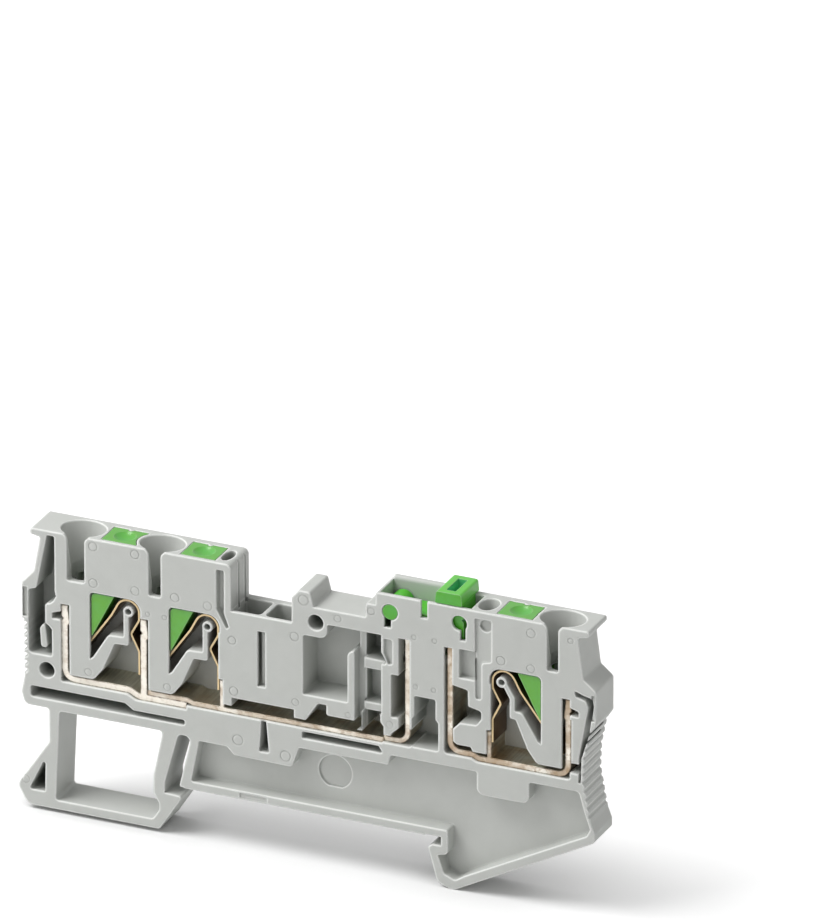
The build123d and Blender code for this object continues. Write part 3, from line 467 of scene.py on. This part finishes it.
class Strip:
    """A metal strip that is led from its first end through straight runs and bends."""

    longest_run = 0.4 * MM
    merge_within = 0.001 * MM
    sheared_corner = radians(60)
    smooth_below = radians(35)

    def __init__(self, start, heading, thickness, width):
        self.mesh = bmesh.new()
        self.at = start
        self.heading = heading.normalized()
        side = ACROSS.cross(self.heading)
        axes = Matrix((side * thickness, ACROSS * width, self.heading)).transposed().to_4x4()
        bmesh.ops.create_grid(
            self.mesh, x_segments=1, y_segments=1, size=0.5, matrix=Matrix.Translation(start) @ axes
        )
        self.end = only_face(self.mesh.faces)

    def end_and_rim(self):
        """The end face with its edges, so that extruding leaves no face inside."""
        return [self.end, *self.end.edges]

    def run(self, length):
        """Go straight on."""
        count = max(1, round(length / self.longest_run))
        for _ in range(count):
            made = bmesh.ops.extrude_face_region(self.mesh, geom=self.end_and_rim())
            verts = [part for part in made["geom"] if isinstance(part, bmesh.types.BMVert)]
            bmesh.ops.translate(self.mesh, verts=verts, vec=self.heading * (length / count))
            self.end = only_face(made["geom"])
        self.at = self.at + self.heading * length

    def bend(self, angle, radius, steps):
        """Turn by an angle about the line across the strip, round a centre at the middle line's radius."""
        towards = ACROSS.cross(self.heading) * (1 if angle > 0 else -1)
        centre = self.at + towards * radius
        made = bmesh.ops.spin(
            self.mesh, geom=self.end_and_rim(), cent=centre, axis=ACROSS, angle=angle, steps=steps
        )
        self.end = only_face(made["geom_last"])
        self.at = centre + turned(self.at - centre, angle)
        self.heading = turned(self.heading, angle)

    def lead(self, points, radii, steps):
        """Follow a bent line, with an arc of one of the radii at each corner between its ends."""
        legs = [after - before for before, after in zip(points, points[1:])]
        used = 0.0
        for leg, after, radius in zip(legs, legs[1:], radii):
            angle = leg.angle(after)
            sign = 1 if leg.cross(after).dot(ACROSS) > 0 else -1
            tangent = radius * sin(angle / 2) / cos(angle / 2)
            self.run(leg.length - used - tangent)
            self.bend(sign * angle, radius, steps)
            used = tangent
        self.run(legs[-1].length - used)

    def draw_back(self, start, end, amount):
        """Let the open side slant back, by nothing at start and by the whole amount at the end."""
        for vert in self.mesh.verts:
            share = (vert.co.x - start.x) / (end.x - start.x)
            if share > 0 and vert.co.y < start.y:
                vert.co.y += amount * share

    def finished(self, name, break_edge):
        """The strip as an object, its sheared edges broken."""
        bmesh.ops.remove_doubles(self.mesh, verts=self.mesh.verts, dist=self.merge_within)
        bmesh.ops.recalc_face_normals(self.mesh, faces=self.mesh.faces)
        sharp = [
            edge for edge in self.mesh.edges
            if edge.is_manifold and edge.calc_face_angle() > self.sheared_corner
        ]
        bmesh.ops.bevel(
            self.mesh, geom=sharp, offset=break_edge, offset_type="OFFSET", segments=2,
            profile=0.5, affect="EDGES", material=-1,
        )
        data = bpy.data.meshes.new(name)
        self.mesh.to_mesh(data)
        self.mesh.free()
        data.shade_smooth()
        data.set_sharp_from_angle(angle=self.smooth_below)
        piece = bpy.data.objects.new(name, data)
        bpy.context.scene.collection.objects.link(piece)
        return piece


def clamp_spring(number, side, settings, material):
    """One clamp spring: from the tip on the bar up over the pin and down the rear leg to its seat."""
    node = f"clamp_spring_{number}"
    low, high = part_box(node)
    outside = settings.rear + settings.thickness / 2
    pin_x = high[0] - outside if side < 0 else low[0] + outside
    middle = (low[1] + high[1]) / 2

    def at(reach, height):
        """A point so many millimetres from the pin and above the rail."""
        return Vector((pin_x + side * reach * MM, middle, height * MM))

    rear = -settings.rear / MM
    tip, knee = at(*TIP), at(*KNEE)
    peak = at(rear, KNEE[1] + (KNEE[0] - rear) * UPPER_RISE)
    line = [tip, knee, peak, at(rear, SHOULDER_Z), at(*WAIST), at(rear, HIP_Z), at(rear, SEAT_Z)]
    radii = [settings.knee, settings.arch, settings.bend, settings.bend, settings.bend]
    strip = Strip(tip, knee - tip, settings.thickness, settings.width)
    strip.lead(line, radii, settings.steps)
    strip.draw_back(knee, tip, settings.taper)
    piece = strip.finished(f"clamp_spring_strip_{number}", BROKEN_EDGE * MM)
    piece.data.materials.append(material)
    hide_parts(node)
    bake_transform(piece)
    return piece


class FinishHousing(bpy.types.Operator):
    """Give the moulded housing its grey and its grain, with painted highlights on its edges and painted
    shade in its pockets
    """

    bl_idname = "terminal_block.housing"
    bl_label = "Housing"

    def execute(self, context):
        dress(["housing"], housing_finish(context.scene.block_moulding))
        return {"FINISHED"}


class FinishBars(bpy.types.Operator):
    """Give the current bars and the fork contact their stamped copper and tin"""

    bl_idname = "terminal_block.bars"
    bl_label = "Current bars"

    def execute(self, context):
        metal = context.scene.block_metal
        for name, wear in BAR_WEAR.items():
            dress([name], bar_finish(name.replace("_current", ""), metal, wear))
        return {"FINISHED"}


class FinishButtons(bpy.types.Operator):
    """Give the three release buttons their green"""

    bl_idname = "terminal_block.buttons"
    bl_label = "Release buttons"

    def execute(self, context):
        green = context.scene.block_green
        dress(BUTTONS, green_finish("button_green", green, green.button, green.wedge))
        return {"FINISHED"}


class FinishLever(bpy.types.Operator):
    """Give the disconnect lever its green and its knife the silver"""

    bl_idname = "terminal_block.lever"
    bl_label = "Disconnect lever"

    def execute(self, context):
        green = context.scene.block_green
        dress(["disconnect_lever"], green_finish("lever_green", green, green.lever, green.disc))
        dress(["knife_blade"], blade_finish(context.scene.block_metal))
        return {"FINISHED"}


class MakeSprings(bpy.types.Operator):
    """Form the three clamp springs from strip and seat each between its bar and its button"""

    bl_idname = "terminal_block.springs"
    bl_label = "Clamp springs"

    def execute(self, context):
        material = spring_finish(context.scene.block_metal)
        for number, side in ((1, -1), (2, -1), (3, 1)):
            clamp_spring(number, side, context.scene.block_spring, material)
        return {"FINISHED"}


def lamp(name, place, target, size, power):
    """A square soft lamp that looks at a point."""
    data = bpy.data.lights.new(name, "AREA")
    data.size = size
    data.energy = power
    lamp_object = bpy.data.objects.new(name, data)
    lamp_object.location = place
    lamp_object.rotation_euler = (target - place).to_track_quat("-Z", "Y").to_euler()
    bpy.context.scene.collection.objects.link(lamp_object)


class SetStage(bpy.types.Operator):
    """Lay the pale floor, light the block softly and aim the camera at it"""

    bl_idname = "terminal_block.stage"
    bl_label = "Stage"

    # All lengths of the stage are in metres
    half_floor = 4.0
    aim = Vector((0, 0, 0.012))
    # Place and size of each lamp
    lamps_at = {
        "key": ((-0.3, -0.17, 0.53), 0.35),
        "fill": ((-0.2, -0.42, 0.2), 0.4),
        "side": ((0.75, 0.0, 0.25), 0.5),
    }
    # The floor's lift grows to pure white between these distances from the block
    whitening = (0.12, 0.4)
    # The lift fades where faces stand within this reach, and is gone at the lower openness
    contact_reach = 0.02
    contact_range = (0.45, 1.0)
    contact_samples = 16
    # How far the camera stands right of and above the line to the block, which then lies low and left
    camera_right = 0.01193
    camera_up = 0.02897

    def execute(self, context):
        settings = context.scene.block_stage
        self.floor(settings)
        self.lamps(settings)
        self.sky(settings)
        self.camera(settings)
        context.scene.view_settings.view_transform = "Standard"
        return {"FINISHED"}

    def floor(self, settings):
        """A wide pale floor at the block's foot, which turns white away from it."""
        mesh = bmesh.new()
        bmesh.ops.create_grid(mesh, x_segments=1, y_segments=1, size=self.half_floor)
        bmesh.ops.translate(mesh, verts=mesh.verts, vec=UP * cad_box[0][2])
        data = bpy.data.meshes.new("floor")
        mesh.to_mesh(data)
        mesh.free()
        piece = bpy.data.objects.new("floor", data)
        bpy.context.scene.collection.objects.link(piece)
        finish = Finish("floor", **{
            "Base Color": settings.floor,
            "Roughness": 0.9,
            "Specular IOR Level": 0.1,
            "Emission Strength": 1.0,
        })
        path = finish.add("ShaderNodeLightPath")
        seen = path.output("Is Camera Ray") + path.output("Is Glossy Ray")
        away = finish.vectors("LENGTH", finish.place, output="Value")
        lift = settings.lift + away.between(*self.whitening) * (1 - settings.lift)
        samples = {"samples": self.contact_samples}
        reach = {"Distance": self.contact_reach}
        clear = finish.add("ShaderNodeAmbientOcclusion", samples, reach, output="AO")
        glow = finish.mix(seen * lift * clear.between(*self.contact_range), (0, 0, 0), (1, 1, 1))
        data.materials.append(finish.shade(Emission_Color=glow))

    def lamps(self, settings):
        """The soft lamps, each with its own power."""
        for name, (place, size) in self.lamps_at.items():
            lamp(name, Vector(place), self.aim, size, getattr(settings, name))

    def sky(self, settings):
        """Even light from all round, which the camera and glossy rays see as white."""
        world = bpy.data.worlds.new("studio")
        world.use_nodes = True
        background = world.node_tree.nodes["Background"]
        path = world.node_tree.nodes.new("ShaderNodeLightPath")
        seen = world.node_tree.nodes.new("ShaderNodeMath")
        seen.operation = "MAXIMUM"
        strength = world.node_tree.nodes.new("ShaderNodeMix")
        strength.inputs[2].default_value = settings.sky
        strength.inputs[3].default_value = 1.0
        background.inputs["Color"].default_value = (1, 1, 1, 1)
        links = world.node_tree.links
        links.new(path.outputs["Is Camera Ray"], seen.inputs[0])
        links.new(path.outputs["Is Glossy Ray"], seen.inputs[1])
        links.new(seen.outputs[0], strength.inputs[0])
        links.new(strength.outputs[0], background.inputs["Strength"])
        bpy.context.scene.world = world

    def camera(self, settings):
        """Stand off along the view, shifted so that the block lies low and left in the picture."""
        turn, rise = settings.azimuth, settings.elevation
        back = Vector((sin(turn) * cos(rise), -cos(turn) * cos(rise), sin(rise)))
        right = Vector((cos(turn), sin(turn), 0))
        upward = back.cross(right)
        data = bpy.data.cameras.new("camera")
        data.lens = settings.lens
        data.clip_start = 0.05
        data.clip_end = 50
        eye = bpy.data.objects.new("camera", data)
        eye.matrix_world = Matrix.Translation(
            self.aim + back * settings.distance + right * self.camera_right + upward * self.camera_up
        ) @ Matrix((right, upward, back)).transposed().to_4x4()
        bpy.context.scene.collection.objects.link(eye)
        bpy.context.scene.camera = eye


OPERATORS = (FinishHousing, FinishBars, FinishButtons, FinishLever, MakeSprings, SetStage)
SETTINGS = {
    "block_moulding": MouldingSettings,
    "block_green": GreenSettings,
    "block_metal": MetalSettings,
    "block_spring": SpringSettings,
    "block_stage": StageSettings,
}


class TerminalBlockPanel(bpy.types.Panel):
    """The block's pieces and the stage, one button each"""

    bl_idname = "VIEW3D_PT_terminal_block"
    bl_label = "Terminal block"
    bl_space_type = "VIEW_3D"
    bl_region_type = "UI"
    bl_category = "Terminal block"

    def draw(self, context):
        for operator in OPERATORS:
            self.layout.operator(operator.bl_idname)
        for name, group in SETTINGS.items():
            box = self.layout.box()
            for setting in group.__annotations__:
                box.prop(getattr(context.scene, name), setting)


def register():
    for group in SETTINGS.values():
        bpy.utils.register_class(group)
    for operator in OPERATORS:
        bpy.utils.register_class(operator)
    bpy.utils.register_class(TerminalBlockPanel)
    for name, group in SETTINGS.items():
        setattr(bpy.types.Scene, name, PointerProperty(type=group))


def unregister():
    for name in SETTINGS:
        delattr(bpy.types.Scene, name)
    bpy.utils.unregister_class(TerminalBlockPanel)
    for operator in reversed(OPERATORS):
        bpy.utils.unregister_class(operator)
    for group in reversed(SETTINGS.values()):
        bpy.utils.unregister_class(group)


def main():
    register()
    bpy.ops.terminal_block.housing()
    bpy.ops.terminal_block.bars()
    bpy.ops.terminal_block.buttons()
    bpy.ops.terminal_block.lever()
    bpy.ops.terminal_block.springs()
    bpy.ops.terminal_block.stage()
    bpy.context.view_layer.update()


if __name__ == "__main__":
    main()
